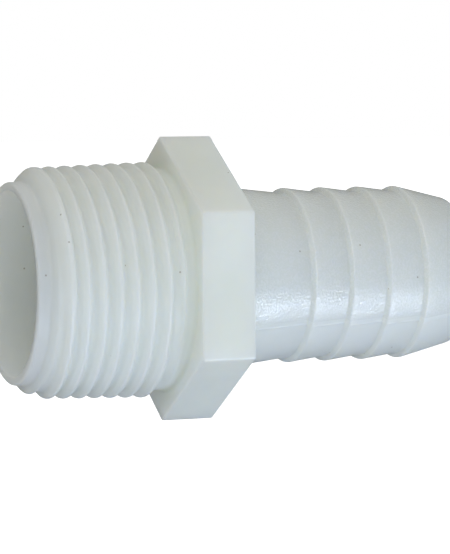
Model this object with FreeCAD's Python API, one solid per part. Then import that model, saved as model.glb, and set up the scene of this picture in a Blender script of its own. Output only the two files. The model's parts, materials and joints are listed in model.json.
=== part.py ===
import FreeCAD, Part
import math
import os

from FreeCAD import Vector

# Hose adapter: male tapered pipe thread, wrench hexagon and four-step hose barb, moulded in one
# piece. Millimetres. +X runs along the bore from the thread to the barb, +Z is up, and the origin
# is on the bore's axis, in the plane where the thread meets the hexagon. Two of the hexagon's
# corners point straight up and down, and one of its flats faces -Y.

# --- 3/4 inch tapered pipe thread, 14 turns to the inch, right-handed
thread_pitch = 25.4 / 14
thread_taper = 1 / 32              # change of radius per length: a taper of 1 in 16 on diameter
crest_radius = 13.29               # crest of the thread, carried on to the hexagon's face
flank_angle = math.radians(30)     # each flank leans 30 degrees from square to the axis
crest_round = 0.25
root_round = 0.45
thread_end_x = -17.6               # open end of the thread side
pilot_radius = 11.2                # plain lead before the first turn
pilot_length = 0.95
pilot_round = 0.35
core_start_length = 0.4            # cone from the plain lead up to the root of the thread
ridge_start_x = -15.82             # crest position where the ridge begins to rise
ridge_start_turn = 0.62            # turn about +X from +Y where it begins, right-handed
ridge_turns = 8.08
run_in_turns = 0.30
run_out_turns = 0.50
neck_round = 0.45                  # soft corner between the thread's root and the hexagon

# --- Hexagon for the wrench
hex_across_flats = 27.8
hex_thickness = 6.15
hex_corner_round = 0.4             # along the six long corners
hex_edge_round = 0.25              # around both faces

# --- Barb for 3/4 inch hose
barb_base_radius = 10.4            # where the barb leaves the hexagon
barb_crest_radius = 10.0
barb_low_radius = 9.44             # foot of each ramp
barb_steps = 4
barb_pitch = 4.57
first_crest_x = 14.93
step_length = 0.37                 # axial length of the steep face behind each crest
step_round = 0.22
nose_radius = 8.45                 # where the last ramp meets the rounded end
barb_end_x = 34.9
nose_round = 0.7
barb_base_round = 0.3

# --- Bore
mouth_radius = 10.27               # open end of the thread side
inlet_radius = 9.95                # end of the drafted inlet
inlet_end_x = -1.5
barb_bore_radius = 7.8             # start of the barb's bore
barb_bore_start_x = 4.5
outlet_radius = 7.6                # open end of the barb
mouth_chamfer = 0.15

# --- Construction
bore_overrun = 1.0                 # how far the bore's cutter runs past both ends
stations_per_turn = 24             # cross sections of the thread ridge in each turn
ridge_foot = 0.5                   # how deep the ridge is rooted in the core
ridge_overlap = 0.05               # flank carried on below the core's surface

# --- Worked out from the above
sharp_height = thread_pitch / 2 / math.tan(flank_angle)
round_loss = 1 / math.sin(flank_angle) - 1
thread_depth = sharp_height - (crest_round + root_round) * round_loss
hex_corner_radius = hex_across_flats / 2 / math.cos(math.radians(30))


def core_radius(x):
    """Radius of the thread's root cone at x."""
    return crest_radius - thread_depth + thread_taper * x


def rounded_wire(corners):
    """Closed wire in the XZ plane through (x, r, rounding) corners, each rounded by a tangent arc."""
    edges = []
    count = len(corners)
    starts = []
    ends = []
    middles = []
    for index in range(count):
        x, r, rounding = corners[index]
        here = Vector(x, 0, r)
        before = Vector(corners[index - 1][0], 0, corners[index - 1][1])
        after = Vector(corners[(index + 1) % count][0], 0, corners[(index + 1) % count][1])
        if not rounding:
            starts.append(here)
            ends.append(here)
            middles.append(None)
            continue
        back = (before - here).normalize()
        ahead = (after - here).normalize()
        half_angle = back.getAngle(ahead) / 2
        reach = rounding / math.tan(half_angle)
        bisector = (back + ahead).normalize()
        centre = here + bisector * (rounding / math.sin(half_angle))
        starts.append(here + back * reach)
        ends.append(here + ahead * reach)
        middles.append(centre - bisector * rounding)
    for index in range(count):
        if middles[index]:
            edges.append(Part.Arc(starts[index], middles[index], ends[index]).toShape())
        edges.append(Part.LineSegment(ends[index], starts[(index + 1) % count]).toShape())
    return Part.Wire(edges)


def turned(corners):
    """Solid turned about the X axis from a closed outline of (x, r, rounding) corners."""
    face = Part.Face(rounded_wire(corners))
    return face.revolve(Vector(0, 0, 0), Vector(1, 0, 0), 360)


def thread_core():
    """Plain lead, cone up to the thread's root, root cone and soft corner at the hexagon."""
    pilot_end_x = thread_end_x + pilot_length
    core_start_x = pilot_end_x + core_start_length
    inside_hex_x = hex_thickness / 2
    return turned([
        (thread_end_x, 0, 0),
        (thread_end_x, pilot_radius, pilot_round),
        (pilot_end_x, pilot_radius, 0),
        (core_start_x, core_radius(core_start_x), 0),
        (0, core_radius(0), neck_round),
        (0, core_radius(0) + 2 * neck_round, 0),
        (inside_hex_x, core_radius(0) + 2 * neck_round, 0),
        (inside_hex_x, 0, 0),
    ])


def ridge_height(turn):
    """Share of the full thread depth, at so many turns from the ridge's start."""
    rise = min(1, turn / run_in_turns)
    fall = min(1, (ridge_turns - turn) / run_out_turns)
    share = min(rise, fall)
    return share * share * (3 - 2 * share)


def ridge_section(turn):
    """Cross section of the thread ridge in the plane through the axis, at this turn."""
    angle = 2 * math.pi * (ridge_start_turn + turn)
    middle_x = ridge_start_x + thread_pitch * turn
    sink = (1 - ridge_height(turn)) * (thread_depth + ridge_overlap)
    base = core_radius(middle_x) - sink
    flank_top = thread_depth - crest_round * (1 - math.sin(flank_angle))
    top_half = crest_round * math.cos(flank_angle)
    foot_half = top_half + (flank_top + ridge_overlap) * math.tan(flank_angle)

    def at(along, height):
        x = middle_x + along
        r = base + height + thread_taper * along
        return Vector(x, r * math.cos(angle), r * math.sin(angle))

    foot_left = at(-foot_half, -ridge_foot)
    flank_left = at(-foot_half, -ridge_overlap)
    crest_left = at(-top_half, flank_top)
    crest_middle = at(0, thread_depth)
    crest_right = at(top_half, flank_top)
    flank_right = at(foot_half, -ridge_overlap)
    foot_right = at(foot_half, -ridge_foot)
    return Part.Wire([
        Part.LineSegment(foot_left, flank_left).toShape(),
        Part.LineSegment(flank_left, crest_left).toShape(),
        Part.Arc(crest_left, crest_middle, crest_right).toShape(),
        Part.LineSegment(crest_right, flank_right).toShape(),
        Part.LineSegment(flank_right, foot_right).toShape(),
        Part.LineSegment(foot_right, foot_left).toShape(),
    ])


def thread_ridge():
    """Right-handed ridge that rises out of the core, climbs the cone and sinks before the hexagon."""
    count = round(ridge_turns * stations_per_turn)
    sections = [ridge_section(ridge_turns * index / count) for index in range(count + 1)]
    return Part.makeLoft(sections, True, False)


def hexagon():
    """Wrench hexagon with softened corners and edges."""
    corners = []
    for index in range(6):
        angle = math.radians(90 + 60 * index)
        corners.append(Vector(0, hex_corner_radius * math.cos(angle), hex_corner_radius * math.sin(angle)))
    outline = Part.makePolygon(corners + corners[:1])
    block = Part.Face(outline).extrude(Vector(hex_thickness, 0, 0))
    long_edges = [e for e in block.Edges if abs(e.tangentAt(e.FirstParameter).x) > 0.5]
    block = block.makeFillet(hex_corner_round, long_edges)
    face_edges = [e for e in block.Edges if e.BoundBox.XLength < hex_edge_round]
    return block.makeFillet(hex_edge_round, face_edges)


def barb():
    """Barb: a drafted stem, steps that rise steeply and fall towards the end, and a rounded nose."""
    inside_hex_x = hex_thickness / 2
    corners = [
        (inside_hex_x, 0, 0),
        (inside_hex_x, barb_base_radius + 2 * barb_base_round, 0),
        (hex_thickness, barb_base_radius + 2 * barb_base_round, 0),
        (hex_thickness, barb_base_radius, barb_base_round),
    ]
    for index in range(barb_steps):
        crest_x = first_crest_x + barb_pitch * index
        corners.append((crest_x - step_length, barb_low_radius, step_round))
        corners.append((crest_x, barb_crest_radius, step_round))
    corners.append((barb_end_x, nose_radius, nose_round))
    corners.append((barb_end_x, 0, 0))
    return turned(corners)


def bore():
    """Cutter for the waterway: drafted inlet, cone under the hexagon, and the barb's long bore."""
    flare = mouth_chamfer + bore_overrun
    return turned([
        (thread_end_x - bore_overrun, 0, 0),
        (thread_end_x - bore_overrun, mouth_radius + flare, 0),
        (thread_end_x + mouth_chamfer, mouth_radius, 0),
        (inlet_end_x, inlet_radius, 0),
        (barb_bore_start_x, barb_bore_radius, 0),
        (barb_end_x - mouth_chamfer, outlet_radius, 0),
        (barb_end_x + bore_overrun, outlet_radius + flare, 0),
        (barb_end_x + bore_overrun, 0, 0),
    ])


def fitting_body():
    """The whole moulding, as one solid."""
    outside = thread_core().multiFuse([thread_ridge(), hexagon(), barb()])
    body = outside.cut(bore())
    solid, = body.Solids
    return solid


os.makedirs("parts", exist_ok=True)
fitting_body().exportStep("parts/fitting_body.step")
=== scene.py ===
import json
import math

import bpy
import numpy as np
from mathutils import Matrix, Vector


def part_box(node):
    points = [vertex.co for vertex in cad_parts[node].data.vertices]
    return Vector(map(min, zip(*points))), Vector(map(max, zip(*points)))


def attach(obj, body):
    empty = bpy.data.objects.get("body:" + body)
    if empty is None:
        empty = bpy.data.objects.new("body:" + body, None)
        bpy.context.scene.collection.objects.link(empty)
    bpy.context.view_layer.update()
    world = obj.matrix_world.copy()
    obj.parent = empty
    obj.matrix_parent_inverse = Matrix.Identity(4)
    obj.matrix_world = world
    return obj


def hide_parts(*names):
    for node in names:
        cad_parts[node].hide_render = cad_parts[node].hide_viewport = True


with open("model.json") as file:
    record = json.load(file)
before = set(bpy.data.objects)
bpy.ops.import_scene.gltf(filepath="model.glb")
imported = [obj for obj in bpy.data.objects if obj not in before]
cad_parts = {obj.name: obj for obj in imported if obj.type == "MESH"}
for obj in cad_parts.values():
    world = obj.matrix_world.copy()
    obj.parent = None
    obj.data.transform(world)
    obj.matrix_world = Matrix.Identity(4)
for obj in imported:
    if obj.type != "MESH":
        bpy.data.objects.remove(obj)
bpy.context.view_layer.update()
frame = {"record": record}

# A one-piece nylon hose adapter. The mesh below is turned and threaded by formula around the frame's
# sizes. Lengths are in millimetres until the mesh is written, in metres.
NODE = "fitting_body"
MM = 0.001
low, high = (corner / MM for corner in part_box(NODE))


def mount_place(name):
    """Where one of the record's mounts lies, in millimetres."""
    found = [m for m in frame["record"]["mounts"] if m["name"] == name]
    return Vector(found[0]["pos_m"]) / MM


# --- Sizes taken from the frame
TIP_X = low.x                              # open end of the thread side
END_X = high.x                             # open end of the barb
HALF_FLATS = mount_place("wrench_flat_back").y
HEX_X = mount_place("hose_stop").x         # barb-side face of the hexagon; the other is at 0

# --- Pipe thread
PITCH = 25.4 / 14
TAPER = 1 / 32
CREST_RADIUS = 13.29
FLANK = math.radians(30)
CREST_ROUND = 0.25
ROOT_ROUND = 0.45
RIDGE_START_X = -15.82
RIDGE_START_TURN = 0.62
RIDGE_TURNS = 8.08
RUN_IN_TURNS = 0.245
RUN_OUT_TURNS = 0.50
RIDGE_SINK = 0.05                          # how deep the ridge lies under the root where it ends
PILOT_RADIUS = 11.22
PILOT_END_X = TIP_X + 1.39
CORE_START_X = TIP_X + 2.32
PILOT_ROUND = 0.3
NECK_ROUND = 0.45
SHOULDER_WIDTH = 1.8                       # the first turn's broad side, towards the open end
SHOULDER_BACK = 0.68                       # its side towards the hexagon
SHOULDER_SHIFT = 0.27                      # its top, past the ridge's own crest
SHOULDER_POWER = 1.5                       # above 1 its foot runs out softly
SHOULDER_SINK = 0.53                       # how far its foot reaches under the surface
SHOULDER_END_TURN = 0.85                   # from here it gives way to the plain flank
SHOULDER_FADE_TURNS = 0.3
BLEND_ON_RIDGE = 0.02                      # softness of the ridge's foot along the thread
BLEND_AT_ENDS = 0.14                       # and where the ridge rises and sinks

# --- Hexagon
HEX_CORNER_ROUND = 0.4
HEX_EDGE_ROUND = 0.25

# --- Barb
STEM_RADIUS = 10.4
BARB_CREST = 10.0
BARB_LOW = 9.44
BARB_STEPS = 4
BARB_PITCH = 4.57
FIRST_CREST_X = 14.93
STEP_LENGTH = 0.37
STEP_ROUND = 0.22
STEM_ROUND = 0.3
NOSE_RADIUS = 8.45
NOSE_ROUND = 0.7

# --- Bore
MOUTH_RADIUS = 10.27
INLET_RADIUS = 9.95
INLET_END_X = -1.5
BORE_START_X = 4.5
BORE_RADIUS = 7.8
OUTLET_RADIUS = 7.6
BORE_START_ROUND = 0.6                     # soft corners of the cone under the hexagon
INLET_END_ROUND = 0.8
LIP_ROUND = 0.15

# --- Mould line: two halves meet along the barb, in a plane tilted about the bore
PARTING_TURN = math.radians(212)
FLASH_HEIGHT = 0.08
FLASH_WIDTH = 0.10
FLASH_MEAN = 0.55                          # share of the height it keeps on average
FLASH_WAVES = ((0.30, 1.9, 0.4), (0.15, 4.7, 0.0))   # share, radians per millimetre, phase
FLASH_RUN_IN = 1.5                         # from the hexagon, and twice that before the nose
GRAIN_START = 0.15                         # the grained half begins this far above the mould line
GRAIN_FULL = 1.2                           # and is fully grained from here
GRAIN_EDGE = 0.1                           # it fades in over this length beside the hexagon

# --- Mesh density
COLUMN_STEP = 1.5                          # degrees
CORNER_STEPS = (-1.0, -0.72, -0.48, -0.24, 0, 0.24, 0.48, 0.72, 1.0)   # degrees, about each corner
LINE_STEPS = (-3.2, -1.6, -0.8, 0, 0.8, 1.6, 3.2)                      # flash widths, about the line
SAME_ANGLE = 1e-9                          # radians: closer than this, two angles are one
CLOSEST_ANGLE = 1e-5                       # radians, between two columns
ROWS_ON_FLANK = 2
ROUND_POINTS = 5                           # points on a small rounding
WIDE_ROUND_POINTS = 8                      # and on the lead's edge and the neck
FIRST_EDGE_ANGLE = 18                      # degrees: first point on the rounding of the hexagon's edge
THREAD_FACE_ROWS = (0.07, 0.35, 0.65, 0.93, 1.0)   # shares of the way out over the hexagon's face
BARB_FACE_ROWS = (1.0, 0.95, 0.7, 0.35, 0.06)      # the same for its barb side, from outside in
FLAT_ROWS = (0.27, 0.5, 0.73)              # shares of the hexagon's thickness
EDGE_GUARD = 0.1                           # a row this far beside each rounded edge
LONGEST_STEP = 1.2                         # between two rows on the barb
LONGEST_BORE_STEP = 2.4
SNAP_SHARE = 0.35                          # of a row's spacing: nearer rows join the end ring


def sharp_height():
    return PITCH / 2 / math.tan(FLANK)


THREAD_DEPTH = sharp_height() - (CREST_ROUND + ROOT_ROUND) * (1 / math.sin(FLANK) - 1)


def smoothstep(value):
    share = np.clip(value, 0, 1)
    return share * share * (3 - 2 * share)


# ---------------------------------------------------------------- columns round the axis
def column_angles():
    """Angles of the mesh's columns: an even fan, finer over the hexagon's corners and the mould line."""
    even = np.radians(np.arange(0, 360, COLUMN_STEP))
    fine = [even]
    corner_offsets = np.radians(CORNER_STEPS)
    for index in range(6):
        fine.append(math.radians(30 + 60 * index) + corner_offsets)
    line_offsets = np.array(LINE_STEPS) * FLASH_WIDTH / BARB_CREST
    for turn in (PARTING_TURN, PARTING_TURN - math.pi):
        fine.append(turn + line_offsets)
    angles = np.sort(np.concatenate(fine) % (2 * math.pi))
    special = np.sort(np.concatenate(fine[1:]) % (2 * math.pi))
    kept = []
    for angle in angles:
        is_special = np.abs(special - angle).min() < SAME_ANGLE
        crowded = np.abs(special - angle).min() < math.radians(COLUMN_STEP) / 3
        if is_special or not crowded:
            if not kept or angle - kept[-1] > CLOSEST_ANGLE:
                kept.append(angle)
    return np.array(kept)


THETA = column_angles()
COLUMNS = len(THETA)


# ---------------------------------------------------------------- the thread's surface
def core_radius(x):
    return CREST_RADIUS - THREAD_DEPTH + TAPER * x


def ridge_profile(offset):
    """Height over the root at an axial distance from the nearest crest: rounded crest, flank, root."""
    d = np.abs(offset)
    crest_half = CREST_ROUND * math.cos(FLANK)
    root_half = ROOT_ROUND * math.cos(FLANK)
    from_root = PITCH / 2 - d
    crest = THREAD_DEPTH - CREST_ROUND + np.sqrt(np.maximum(CREST_ROUND**2 - d**2, 0))
    root = ROOT_ROUND - np.sqrt(np.maximum(ROOT_ROUND**2 - from_root**2, 0))
    crest_drop = CREST_ROUND * (1 - math.sin(FLANK))
    flank = THREAD_DEPTH - crest_drop - (d - crest_half) / math.tan(FLANK)
    return np.where(d < crest_half, crest, np.where(from_root < root_half, root, flank))


def ridge_share(turn):
    """How much of the thread's depth has risen, at so many turns from where it begins."""
    rise = turn / RUN_IN_TURNS
    fall = (RIDGE_TURNS - turn) / RUN_OUT_TURNS
    return smoothstep(np.minimum(rise, fall))


def dome_share(along, turns, crest):
    """Height of one turn's broad dome as a share of the crest's, wider towards the open end."""
    past_top = (along - crest) * PITCH - SHOULDER_SHIFT
    reach = np.where(past_top < 0, SHOULDER_WIDTH, SHOULDER_BACK)
    dome = (1 - np.clip(np.abs(past_top) / reach, 0, 1) ** 2) ** SHOULDER_POWER
    gone = smoothstep((crest + turns - SHOULDER_END_TURN) / SHOULDER_FADE_TURNS)
    return dome * ridge_share(crest + turns) * (1 - gone)


def shoulder_share(along, turns):
    """Share of the first turn's dome, seen from the crests on both sides."""
    return np.maximum(dome_share(along, turns, np.floor(along)), dome_share(along, turns, np.ceil(along)))


def thread_radius(x, theta):
    """Radius of the threaded surface at x along the axis and angle theta about it."""
    turns = theta / (2 * math.pi) - RIDGE_START_TURN
    along = (x - RIDGE_START_X) / PITCH - turns
    nearest = np.round(along)
    share = ridge_share(nearest + turns)
    lead = smoothstep((x - PILOT_END_X) / (CORE_START_X - PILOT_END_X))
    base = PILOT_RADIUS + lead * (core_radius(x) - PILOT_RADIUS)
    ridge = share * (core_radius(x) - base) + ridge_profile((along - nearest) * PITCH)
    ridge = ridge - (1 - share) * (THREAD_DEPTH + RIDGE_SINK)
    shoulder = shoulder_share(along, turns)
    crest_over = core_radius(x) + THREAD_DEPTH - base
    over = np.maximum(ridge, shoulder * crest_over - (1 - shoulder) * SHOULDER_SINK)
    softness = BLEND_ON_RIDGE * share + BLEND_AT_ENDS * (1 - share)
    return base + (over + np.sqrt(over**2 + softness**2)) / 2 - softness / 2 * share


# ---------------------------------------------------------------- rings and profiles
def ring(x, r):
    return np.full(COLUMNS, float(x)), np.broadcast_to(r, (COLUMNS,)).astype(float)


def hexagon_radius(inset):
    """Distance from the axis to the rounded hexagon, pulled in by an inset, at each column."""
    flats = HALF_FLATS - inset
    rounding = HEX_CORNER_ROUND - inset
    corner_centre = (HALF_FLATS - HEX_CORNER_ROUND) / math.cos(math.radians(30))
    from_corner = (THETA - math.radians(30)) % math.radians(60)
    from_corner = np.minimum(from_corner, math.radians(60) - from_corner)
    on_flat = flats / np.cos(math.radians(30) - from_corner)
    across = corner_centre * np.sin(from_corner)
    on_round = corner_centre * np.cos(from_corner) + np.sqrt(np.maximum(rounding**2 - across**2, 0))
    tangent = (math.radians(30) - from_corner) > math.atan2(
        corner_centre * math.sin(math.radians(30)), flats)
    return np.where(tangent, on_round, on_flat)


def arc(centre_x, centre_r, radius, start, end, count):
    """Points on an arc in the (x, r) plane, from start to end degrees."""
    angles = np.radians(np.linspace(start, end, count))
    return [(centre_x + radius * math.cos(a), centre_r + radius * math.sin(a)) for a in angles]


def rounded_outline(corners, longest=LONGEST_STEP):
    """Points along a polyline of (x, r, rounding) corners, with round corners and split straights."""
    points = [np.array(corners[0][:2])]
    for before, here, after in zip(corners, corners[1:], corners[2:]):
        p, a, b = (np.array(c[:2]) for c in (here, before, after))
        back, ahead = (a - p) / np.linalg.norm(a - p), (b - p) / np.linalg.norm(b - p)
        half = math.acos(np.clip(back @ ahead, -1, 1)) / 2
        reach = here[2] / math.tan(half)
        bisector = (back + ahead) / np.linalg.norm(back + ahead)
        centre = p + bisector * here[2] / math.sin(half)
        start, end = p + back * reach - centre, p + ahead * reach - centre
        for share in np.linspace(0, 1, ROUND_POINTS):
            mix = start * (1 - share) + end * share
            points.append(centre + mix / np.linalg.norm(mix) * here[2])
    points.append(np.array(corners[-1][:2]))
    outline = [points[0]]
    for a, b in zip(points, points[1:]):
        pieces = max(1, math.ceil(np.linalg.norm(b - a) / longest))
        outline += [a + (b - a) * step / pieces for step in range(1, pieces + 1)]
    return [(float(x), float(r)) for x, r in outline]


def lip_rings():
    """Rim of the thread side, from the bore's edge out over the flat end and its rounded edge."""
    edge = arc(TIP_X + LIP_ROUND, MOUTH_RADIUS + LIP_ROUND, LIP_ROUND, 270, 180, ROUND_POINTS)
    face_outer = PILOT_RADIUS - PILOT_ROUND
    outer = arc(TIP_X + PILOT_ROUND, face_outer, PILOT_ROUND, 180, 90, WIDE_ROUND_POINTS)
    return [ring(x, r) for x, r in edge + outer]


def neck_rings():
    """Soft corner between the root of the thread and the hexagon."""
    root = core_radius(0)
    centre_r = root + NECK_ROUND
    points = arc(-NECK_ROUND, centre_r, NECK_ROUND, 270, 360, WIDE_ROUND_POINTS)
    return [ring(x, r) for x, r in points[1:]]


def hexagon_rings():
    """Both faces and the six flats, with rounded edges and support rows beside each rounding."""
    e = HEX_EDGE_ROUND
    rings = []
    inner = core_radius(0) + NECK_ROUND
    outer = hexagon_radius(e)
    edge_angles = np.radians(np.linspace(FIRST_EDGE_ANGLE, 90, ROUND_POINTS))
    for share in THREAD_FACE_ROWS:
        rings.append(ring(0, inner + (outer - inner) * share))
    for angle in edge_angles:
        rings.append(ring(e - e * math.cos(angle), hexagon_radius(e - e * math.sin(angle))))
    on_flats = [HEX_X * share for share in FLAT_ROWS]
    for x in [e + EDGE_GUARD] + on_flats + [HEX_X - e - EDGE_GUARD]:
        rings.append(ring(x, hexagon_radius(0)))
    for angle in edge_angles[::-1]:
        rings.append(ring(HEX_X - e + e * math.cos(angle), hexagon_radius(e - e * math.sin(angle))))
    inner = STEM_RADIUS + STEM_ROUND
    for share in BARB_FACE_ROWS:
        rings.append(ring(HEX_X, inner + (outer - inner) * share))
    return rings


def flash(x, along):
    """Height of the mould line's flash over the barb, in patches, at each column."""
    away = np.minimum(
        np.abs((THETA - PARTING_TURN + math.pi) % (2 * math.pi) - math.pi),
        np.abs((THETA - PARTING_TURN) % (2 * math.pi) - math.pi))
    ridge = np.exp(-(away * BARB_CREST / FLASH_WIDTH) ** 2)
    patch = FLASH_MEAN + sum(share * math.sin(pace * x + phase) for share, pace, phase in FLASH_WAVES)
    return FLASH_HEIGHT * ridge * patch * along


def barb_rings():
    """Stem, four steps and the nose, down to the edge of the barb's open end."""
    corners = [(HEX_X, STEM_RADIUS + STEM_ROUND * 2, 0), (HEX_X, STEM_RADIUS, STEM_ROUND)]
    for index in range(BARB_STEPS):
        crest_x = FIRST_CREST_X + BARB_PITCH * index
        corners.append((crest_x - STEP_LENGTH, BARB_LOW, STEP_ROUND))
        corners.append((crest_x, BARB_CREST, STEP_ROUND))
    corners.append((END_X, NOSE_RADIUS, NOSE_ROUND))
    corners.append((END_X, OUTLET_RADIUS + LIP_ROUND, 0))
    points = rounded_outline(corners)[1:]
    rings = []
    for x, r in points:
        after_hexagon = smoothstep((x - HEX_X) / FLASH_RUN_IN)
        before_nose = smoothstep((END_X - FLASH_RUN_IN - x) / FLASH_RUN_IN)
        along = float(after_hexagon * before_nose)
        rings.append((np.full(COLUMNS, x), r + flash(x, along)))
    return rings


def bore_rings():
    """Waterway, from the barb's end back to the mouth of the thread side."""
    corners = [
        (END_X, OUTLET_RADIUS + LIP_ROUND * 2, 0),
        (END_X, OUTLET_RADIUS, LIP_ROUND),
        (BORE_START_X, BORE_RADIUS, BORE_START_ROUND),
        (INLET_END_X, INLET_RADIUS, INLET_END_ROUND),
        (TIP_X + LIP_ROUND, MOUTH_RADIUS, 0),
    ]
    points = rounded_outline(corners, LONGEST_BORE_STEP)
    return [ring(x, r) for x, r in points[2:-1]]


# ---------------------------------------------------------------- mesh
def row_offsets():
    """Axial places of the helical rows within one pitch, measured from a crest."""
    crest_half = CREST_ROUND * math.cos(FLANK)
    root_half = ROOT_ROUND * math.cos(FLANK)
    flank_start, flank_end = crest_half, PITCH / 2 - root_half
    half = [0, crest_half * 0.5, crest_half]
    flank_length = flank_end - flank_start
    half += [flank_start + flank_length * (i + 1) / (ROWS_ON_FLANK + 1) for i in range(ROWS_ON_FLANK)]
    half += [flank_end, PITCH / 2 - root_half * 0.5, PITCH / 2]
    other = [-value for value in half[1:-1]]
    return np.sort(np.array(half + other))


def build_grid():
    """Vertices and faces of the whole closed skin."""
    before = lip_rings()
    after = neck_rings() + hexagon_rings() + barb_rings() + bore_rings()
    x_low, x_high = before[-1][0][0], -NECK_ROUND
    verts = []

    def add_ring(x, r):
        first = len(verts)
        for column in range(COLUMNS):
            c, s = math.cos(THETA[column]), math.sin(THETA[column])
            verts.append((x[column], r[column] * c, r[column] * s))
        return first + np.arange(COLUMNS)

    def add_point(x, column):
        radius = float(thread_radius(np.array(x), np.array(THETA[column])))
        verts.append((x, radius * math.cos(THETA[column]), radius * math.sin(THETA[column])))
        return len(verts) - 1

    before_ids = [add_ring(x, r) for x, r in before]
    edge_x = np.full(COLUMNS, x_high)
    after_ids = [add_ring(edge_x, thread_radius(edge_x, THETA))]
    after_ids += [add_ring(x, r) for x, r in after]

    # Helical rows: row m at column i lies at base[m] + pitch * theta / 2 pi, held between both rings.
    offsets = row_offsets()
    per_pitch = len(offsets)
    first_crest = RIDGE_START_X - PITCH * RIDGE_START_TURN
    start = math.floor((x_low - PITCH - first_crest) / PITCH) - 1
    stop = math.ceil((x_high - first_crest) / PITCH) + 1
    base = np.concatenate([first_crest + PITCH * k + offsets for k in range(start, stop)])
    rows = len(base)
    snap = PITCH / per_pitch * SNAP_SHARE
    ids = np.empty((rows, COLUMNS), int)
    for column in range(COLUMNS):
        shift = PITCH * THETA[column] / (2 * math.pi)
        for row in range(rows):
            x = base[row] + shift
            if x < x_low + snap:
                ids[row, column] = before_ids[-1][column]
            elif x > x_high - snap:
                ids[row, column] = after_ids[0][column]
            else:
                ids[row, column] = add_point(x, column)

    def row_id(row, column):
        if column == COLUMNS:
            row, column = row + per_pitch, 0
        return ids[row, column] if row < rows else after_ids[0][column]

    faces = []

    def add_face(corners):
        kept = [v for index, v in enumerate(corners) if v != corners[index - 1]]
        if len(set(kept)) >= 3:
            faces.append(tuple(int(v) for v in kept))

    for row in range(rows - 1):
        for column in range(COLUMNS):
            add_face((row_id(row, column), row_id(row, column + 1),
                      row_id(row + 1, column + 1), row_id(row + 1, column)))

    def add_strip(first, second):
        for column in range(COLUMNS):
            after_column = (column + 1) % COLUMNS
            add_face((first[column], first[after_column], second[after_column], second[column]))

    for first, second in zip(before_ids, before_ids[1:]):
        add_strip(first, second)
    for first, second in zip(after_ids, after_ids[1:]):
        add_strip(first, second)
    add_strip(after_ids[-1], before_ids[0])
    return np.array(verts), faces


def build_body():
    verts, faces = build_grid()
    mesh = bpy.data.meshes.new("moulded_body")
    mesh.from_pydata([tuple(v) for v in verts * MM], [], faces)
    mesh.validate()
    mesh.update()
    for polygon in mesh.polygons:
        polygon.use_smooth = True
    body = bpy.data.objects.new("moulded_body", mesh)
    bpy.context.scene.collection.objects.link(body)
    return body


# ---------------------------------------------------------------- materials
class Nodes:
    """Short calls for building a node tree."""

    def __init__(self, material):
        material.use_nodes = True
        self.tree = material.node_tree
        self.tree.nodes.clear()

    def add(self, kind, **settings):
        node = self.tree.nodes.new(kind)
        for name, value in settings.items():
            setattr(node, name, value)
        return node

    def put(self, node, socket, value):
        target = node.inputs[socket]
        if isinstance(value, bpy.types.NodeSocket):
            self.tree.links.new(value, target)
        else:
            target.default_value = value

    def maths(self, operation, first, second):
        node = self.add("ShaderNodeMath", operation=operation)
        self.put(node, 0, first)
        self.put(node, 1, second)
        return node.outputs[0]

    def fade(self, value, low_edge, high_edge):
        node = self.add("ShaderNodeMapRange", interpolation_type="SMOOTHSTEP")
        self.put(node, "Value", value)
        self.put(node, "From Min", low_edge)
        self.put(node, "From Max", high_edge)
        return node.outputs["Result"]

    def noise(self, place, scale, detail):
        node = self.add("ShaderNodeTexNoise")
        self.put(node, "Vector", place)
        self.put(node, "Scale", scale)
        self.put(node, "Detail", detail)
        return node.outputs["Fac"]

    def mix(self, factor, first, second):
        node = self.add("ShaderNodeMix", data_type="RGBA")
        self.put(node, 0, factor)
        self.put(node, 6, first)
        self.put(node, 7, second)
        return node.outputs[2]


# Natural nylon. Lengths here are in metres, and noise scales are in cells per metre.
PALE = (0.865, 0.89, 0.845, 1)
DEEP = (0.825, 0.85, 0.80, 1)
CLOUD_SCALE = 110
CLOUD_DETAIL = 3.0
CLOUD_EDGES = (0.3, 0.7)                   # noise values where the deep and the pale tone are full
SPECK = (0.30, 0.24, 0.17, 1)              # scorched grains that all natural nylon has a few of
SPECK_SCALE = 330
SPECK_RADIUS = 0.045                       # in cells, fading from half of it
SPECK_SHARE = 0.6
PAINTED_GLINT = (0.95, 0.96, 0.96, 1)              # painted highlight: lighter colour on the grain's peaks, standing in for its glints
PAINTED_GLINT_SHARE = 0.3
PAINTED_GLINT_EDGES = (0.45, 0.65)                 # noise values where a painted glint begins and is full
GRAIN_SCALE = 4400
GRAIN_DETAIL = 0.0
GRAIN_HEIGHT = 0.00005
GRAIN_ROUGHNESS = 0.16
GRAIN_SPECULAR = 0.9
SATIN_SCALE = 1500
SATIN_DETAIL = 2.0
SATIN_SHARE = 0.04                         # of the grain's height
SATIN_ROUGHNESS = 0.33
SATIN_SPECULAR = 0.5
NYLON_IOR = 1.53
DEPTH = 0.006                              # how far light travels inside
DEPTH_BY_COLOUR = (1.0, 0.9, 0.75)


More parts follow.
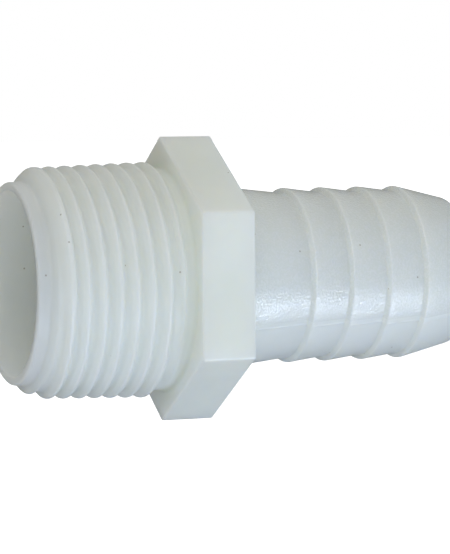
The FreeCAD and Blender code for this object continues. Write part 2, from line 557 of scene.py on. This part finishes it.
def nylon():
    """Natural nylon: milky and translucent, satin on thread and hexagon, grained on half of the barb."""
    material = bpy.data.materials.new("natural_nylon")
    n = Nodes(material)
    place = n.add("ShaderNodeTexCoord").outputs["Object"]
    split = n.add("ShaderNodeSeparateXYZ")
    n.put(split, 0, place)
    x, y, z = split.outputs

    # Grain: on the barb only, on the mould half above the parting plane, short of the line itself.
    on_barb = n.fade(x, HEX_X * MM, (HEX_X + GRAIN_EDGE) * MM)
    above_line = n.maths("ADD", n.maths("MULTIPLY", y, math.sin(PARTING_TURN)),
                         n.maths("MULTIPLY", z, -math.cos(PARTING_TURN)))
    upper_half = n.fade(above_line, GRAIN_START * MM, GRAIN_FULL * MM)
    grain = n.maths("MULTIPLY", on_barb, upper_half)
    fine = n.noise(place, GRAIN_SCALE, GRAIN_DETAIL)
    satin = n.noise(place, SATIN_SCALE, SATIN_DETAIL)

    cloud = n.noise(place, CLOUD_SCALE, CLOUD_DETAIL)
    colour = n.mix(n.fade(cloud, *CLOUD_EDGES), DEEP, PALE)
    cells = n.add("ShaderNodeTexVoronoi")
    n.put(cells, "Vector", place)
    n.put(cells, "Scale", SPECK_SCALE)
    speck = n.fade(cells.outputs["Distance"], SPECK_RADIUS, SPECK_RADIUS / 2)
    colour = n.mix(n.maths("MULTIPLY", speck, SPECK_SHARE), colour, SPECK)
    # Painted highlight: the grain's peaks are lightened in the base colour, standing in for glints.
    painted_glint_mask = n.maths("MULTIPLY", n.fade(fine, *PAINTED_GLINT_EDGES), grain)
    colour = n.mix(n.maths("MULTIPLY", painted_glint_mask, PAINTED_GLINT_SHARE), colour, PAINTED_GLINT)

    def grained(plain, full):
        return n.maths("ADD", n.maths("MULTIPLY", grain, full - plain), plain)

    bump = n.add("ShaderNodeBump")
    n.put(bump, "Height", n.maths("ADD", n.maths("MULTIPLY", fine, grain),
                                  n.maths("MULTIPLY", satin, SATIN_SHARE)))
    n.put(bump, "Distance", GRAIN_HEIGHT)

    shader = n.add("ShaderNodeBsdfPrincipled", subsurface_method="RANDOM_WALK")
    n.put(shader, "Base Color", colour)
    n.put(shader, "Roughness", grained(SATIN_ROUGHNESS, GRAIN_ROUGHNESS))
    n.put(shader, "Specular IOR Level", grained(SATIN_SPECULAR, GRAIN_SPECULAR))
    n.put(shader, "IOR", NYLON_IOR)
    n.put(shader, "Subsurface Weight", 1.0)
    n.put(shader, "Subsurface Radius", DEPTH_BY_COLOUR)
    n.put(shader, "Subsurface Scale", DEPTH)
    n.put(shader, "Normal", bump.outputs[0])
    output = n.add("ShaderNodeOutputMaterial")
    n.put(output, "Surface", shader.outputs[0])
    return material


# ---------------------------------------------------------------- stage
FLOOR_DROP = 0.030                         # metres, below the fitting
FLOOR_HALF = 4.0
FLOOR_COLOUR = (0.86, 0.87, 0.88, 1)
FLOOR_GLOW = 0.8
WHITE = (1, 1, 1, 1)


def floor():
    z = low.z * MM - FLOOR_DROP
    h = FLOOR_HALF
    mesh = bpy.data.meshes.new("floor")
    mesh.from_pydata([(-h, -h, z), (h, -h, z), (h, h, z), (-h, h, z)], [], [(0, 1, 2, 3)])
    plane = bpy.data.objects.new("floor", mesh)
    bpy.context.scene.collection.objects.link(plane)
    material = bpy.data.materials.new("floor_white")
    n = Nodes(material)
    seen = n.add("ShaderNodeLightPath").outputs["Is Camera Ray"]
    base = n.add("ShaderNodeBsdfDiffuse")
    n.put(base, "Color", FLOOR_COLOUR)
    glow = n.add("ShaderNodeEmission")
    n.put(glow, "Color", WHITE)
    n.put(glow, "Strength", n.maths("MULTIPLY", seen, FLOOR_GLOW))
    both = n.add("ShaderNodeAddShader")
    n.put(both, 0, base.outputs[0])
    n.put(both, 1, glow.outputs[0])
    output = n.add("ShaderNodeOutputMaterial")
    n.put(output, "Surface", both.outputs[0])
    mesh.materials.append(material)
    # Only the camera sees the floor, so the lamps below the fitting's level still reach it.
    plane.visible_diffuse = False
    plane.visible_glossy = False
    plane.visible_transmission = False
    plane.visible_shadow = False


# Soft lamps round the fitting, as bright patches of the sky: azimuth (0 in front, positive towards
# the barb) and elevation in degrees, sharpness of the patch's edge, strength and tint.
NEUTRAL = (1.0, 1.01, 1.0)
COOL = (0.93, 1.0, 1.07)
AQUA = (0.92, 1.03, 1.03)
BLUE = (0.86, 0.98, 1.18)
WARM = (1.05, 1.03, 0.92)
SOFT = 6
SHARP = 200
LAMPS = {
    "glints_above": (42, -30, SHARP, 0.055, BLUE),
    "glints_below": (32, -38, SHARP, 0.10, BLUE),
    "front": (-20, 0, SOFT, 0.14, AQUA),
    "high_front": (-20, 45, SOFT, 0.335, NEUTRAL),
    "low_front": (-20, -45, SOFT, 0.21, COOL),
    "low_left": (-75, -40, SOFT, 0.10, COOL),
    "low_right": (40, -45, SOFT, 0.22, BLUE),
    "left": (-115, 0, SOFT, 0.165, WARM),
    "right": (90, 0, SOFT, 0.28, AQUA),
    "top": (0, 90, SOFT, 0.155, WARM),
    "high_back": (160, 40, SOFT, 0.105, NEUTRAL),
}


def studio_world():
    """White for the camera; for the fitting, a sky with a soft patch for each lamp."""
    world = bpy.data.worlds.new("studio")
    bpy.context.scene.world = world
    n = Nodes(world)
    direction = n.add("ShaderNodeTexCoord").outputs["Generated"]
    total = None
    for azimuth, elevation, sharpness, strength, tint in LAMPS.values():
        turn, rise = math.radians(azimuth), math.radians(elevation)
        towards = (math.sin(turn) * math.cos(rise), -math.cos(turn) * math.cos(rise), math.sin(rise))
        facing = n.add("ShaderNodeVectorMath", operation="DOT_PRODUCT")
        n.put(facing, 0, direction)
        n.put(facing, 1, towards)
        patch = n.maths("POWER", n.maths("MAXIMUM", facing.outputs["Value"], 0.0), sharpness)
        evened = n.maths("MULTIPLY", patch, strength * (sharpness + 2) / 2)
        glow = n.add("ShaderNodeVectorMath", operation="SCALE")
        n.put(glow, 0, tint)
        n.put(glow, "Scale", evened)
        if total is None:
            total = glow.outputs["Vector"]
        else:
            more = n.add("ShaderNodeVectorMath", operation="ADD")
            n.put(more, 0, total)
            n.put(more, 1, glow.outputs["Vector"])
            total = more.outputs["Vector"]
    sky = n.add("ShaderNodeBackground")
    n.put(sky, "Color", total)
    n.put(sky, "Strength", 1.0)
    white = n.add("ShaderNodeBackground")
    n.put(white, "Color", WHITE)
    n.put(white, "Strength", 1.0)
    pick = n.add("ShaderNodeMixShader")
    n.put(pick, 0, n.add("ShaderNodeLightPath").outputs["Is Camera Ray"])
    n.put(pick, 1, sky.outputs[0])
    n.put(pick, 2, white.outputs[0])
    output = n.add("ShaderNodeOutputWorld")
    n.put(output, "Surface", pick.outputs[0])


CAMERA_AZIMUTH, CAMERA_ELEVATION, CAMERA_ROLL = (math.radians(a) for a in (-20.61, 3.79, -0.42))
CAMERA_DISTANCE = 0.2995                   # metres
CAMERA_TARGET = Vector((0.00779, 0, 0))
CAMERA_LENS = 171.5                        # millimetres
CAMERA_SENSOR = 36
CAMERA_RANGE = (0.01, 20)


def camera():
    """Long lens, slightly above the bore's axis and to the thread's side."""
    flat = math.cos(CAMERA_ELEVATION)
    back = Vector((math.sin(CAMERA_AZIMUTH) * flat, -math.cos(CAMERA_AZIMUTH) * flat,
                   math.sin(CAMERA_ELEVATION)))
    side = (-back).cross(Vector((0, 0, 1))).normalized()
    up = side.cross(-back)
    right = side * math.cos(CAMERA_ROLL) + up * math.sin(CAMERA_ROLL)
    top = up * math.cos(CAMERA_ROLL) - side * math.sin(CAMERA_ROLL)
    data = bpy.data.cameras.new("camera")
    data.sensor_width = CAMERA_SENSOR
    data.lens = CAMERA_LENS
    data.clip_start, data.clip_end = CAMERA_RANGE
    eye = bpy.data.objects.new("camera", data)
    bpy.context.scene.collection.objects.link(eye)
    turn = Matrix((right, top, back)).transposed().to_4x4()
    eye.matrix_world = Matrix.Translation(CAMERA_TARGET + back * CAMERA_DISTANCE) @ turn
    bpy.context.scene.camera = eye


body = build_body()
body.data.materials.append(nylon())
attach(body, "root")
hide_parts(NODE)
floor()
studio_world()
camera()
bpy.context.scene.view_settings.view_transform = "Standard"
